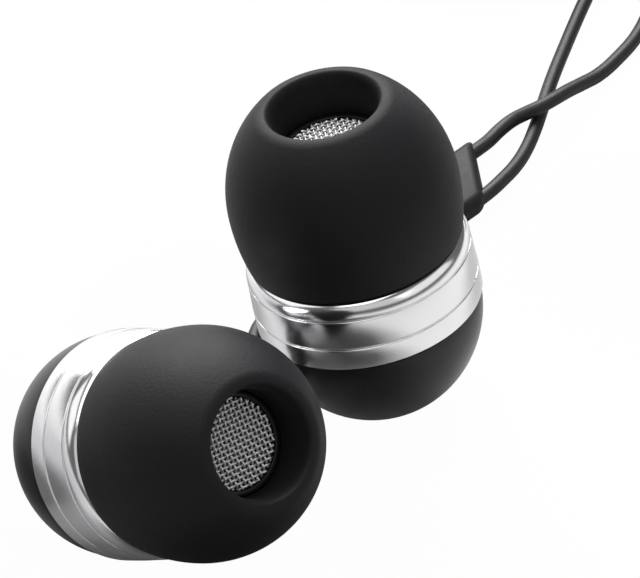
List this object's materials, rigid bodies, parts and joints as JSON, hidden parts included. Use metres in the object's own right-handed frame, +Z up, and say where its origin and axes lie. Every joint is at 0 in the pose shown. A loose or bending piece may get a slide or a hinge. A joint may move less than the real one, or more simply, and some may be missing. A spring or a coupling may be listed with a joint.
{
  "type": "wired in-ear earphones",
  "caption": "Wired in-ear earphones: bullet-shaped buds with soft ear tips, polished metal rings and woven meshes, on thin cords with a slider, splitter and round audio plug.",
  "frame": {"origin": "on the surface that the earphones lie on, under the middle of the box round the two buds", "axes": "+Z up, +X to the right and +Y away from the viewer, towards the splitter and the plug; the left bud is the one nearer the viewer"},
  "size_m": [0.0522, 0.0997, 0.0201],
  "materials": {
    "tip_silicone": "soft matte silicone with a faint sheen",
    "black_shell": "glossy moulded plastic",
    "polished_metal": "mirror polished",
    "steel_mesh": "woven wire",
    "damper_foam": "open acoustic foam",
    "soft_black": "soft moulded rubber",
    "vent_felt": "thin felt",
    "driver_steel": "plain plated steel",
    "speaker_film": "thin formed film",
    "copper": "bare copper",
    "magnet": "nickel-plated magnet",
    "inner_plastic": "plain moulded plastic",
    "circuit_board": "glass-fibre board",
    "lead_lacquer": "lacquered wire",
    "cord_jacket": "smooth soft jacket",
    "black_moulding": "fine satin moulding",
    "tie_strip": "soft strip",
    "plug_metal": "nickel plate"
  },
  "bodies": {
    "earphones": {"left_nozzle_housing": "black_shell", "left_nozzle_mesh": "steel_mesh", "left_nozzle_damper": "damper_foam", "left_metal_ring": "polished_metal", "left_rear_dome": "black_shell", "left_strain_relief": "soft_black", "left_vent_felt": "vent_felt", "left_driver_cover": "driver_steel", "left_surround": "speaker_film", "left_top_plate": "driver_steel", "left_magnet": "magnet", "left_yoke": "driver_steel", "left_driver_frame": "inner_plastic", "left_terminal_board": "circuit_board", "left_lead_wires": "lead_lacquer", "left_cord_crimp": "copper", "right_nozzle_housing": "black_shell", "right_nozzle_mesh": "steel_mesh", "right_nozzle_damper": "damper_foam", "right_metal_ring": "polished_metal", "right_rear_dome": "black_shell", "right_strain_relief": "soft_black", "right_vent_felt": "vent_felt", "right_driver_cover": "driver_steel", "right_surround": "speaker_film", "right_top_plate": "driver_steel", "right_magnet": "magnet", "right_yoke": "driver_steel", "right_driver_frame": "inner_plastic", "right_terminal_board": "circuit_board", "right_lead_wires": "lead_lacquer", "right_cord_crimp": "copper", "left_cord": "cord_jacket", "left_cord_coil": "cord_jacket", "left_cord_tail": "cord_jacket", "right_cord": "cord_jacket", "right_cord_coil": "cord_jacket", "right_cord_tail": "cord_jacket", "main_cord": "cord_jacket", "main_cord_coil": "cord_jacket", "main_cord_tail": "cord_jacket", "left_cord_tie": "tie_strip", "right_cord_tie": "tie_strip", "main_cord_ties": "tie_strip", "y_splitter": "black_moulding", "plug_contacts": "plug_metal", "plug_insulators": "inner_plastic", "plug_handle": "black_moulding", "plug_strain_relief": "soft_black"},
    "left_tip": {"left_ear_tip": "tip_silicone"},
    "right_tip": {"right_ear_tip": "tip_silicone"},
    "slider": {"cord_slider": "black_moulding"},
    "left_cone": {"left_diaphragm": "speaker_film", "left_voice_coil": "copper"},
    "right_cone": {"right_diaphragm": "speaker_film", "right_voice_coil": "copper"}
  },
  "joints": [
    {"name": "left_tip_pull", "type": "slide", "parent": "earphones", "child": "left_tip", "axis": [0.5447, -0.5841, 0.6018], "range_m": [0, 0.008]},
    {"name": "right_tip_pull", "type": "slide", "parent": "earphones", "child": "right_tip", "axis": [-0.1954, 0.1823, 0.9636], "range_m": [0, 0.008]},
    {"name": "slider_along_cords", "type": "slide", "parent": "earphones", "child": "slider", "axis": [-0.7071, -0.7071, 0], "range_m": [0, 0.0025]},
    {"name": "left_cone_travel", "type": "slide", "parent": "earphones", "child": "left_cone", "axis": [0.5447, -0.5841, 0.6018], "range_m": [-0.00015, 0.00015], "stiffness_N_per_m": 400},
    {"name": "right_cone_travel", "type": "slide", "parent": "earphones", "child": "right_cone", "axis": [-0.1954, 0.1823, 0.9636], "range_m": [-0.00015, 0.00015], "stiffness_N_per_m": 400}
  ]
}
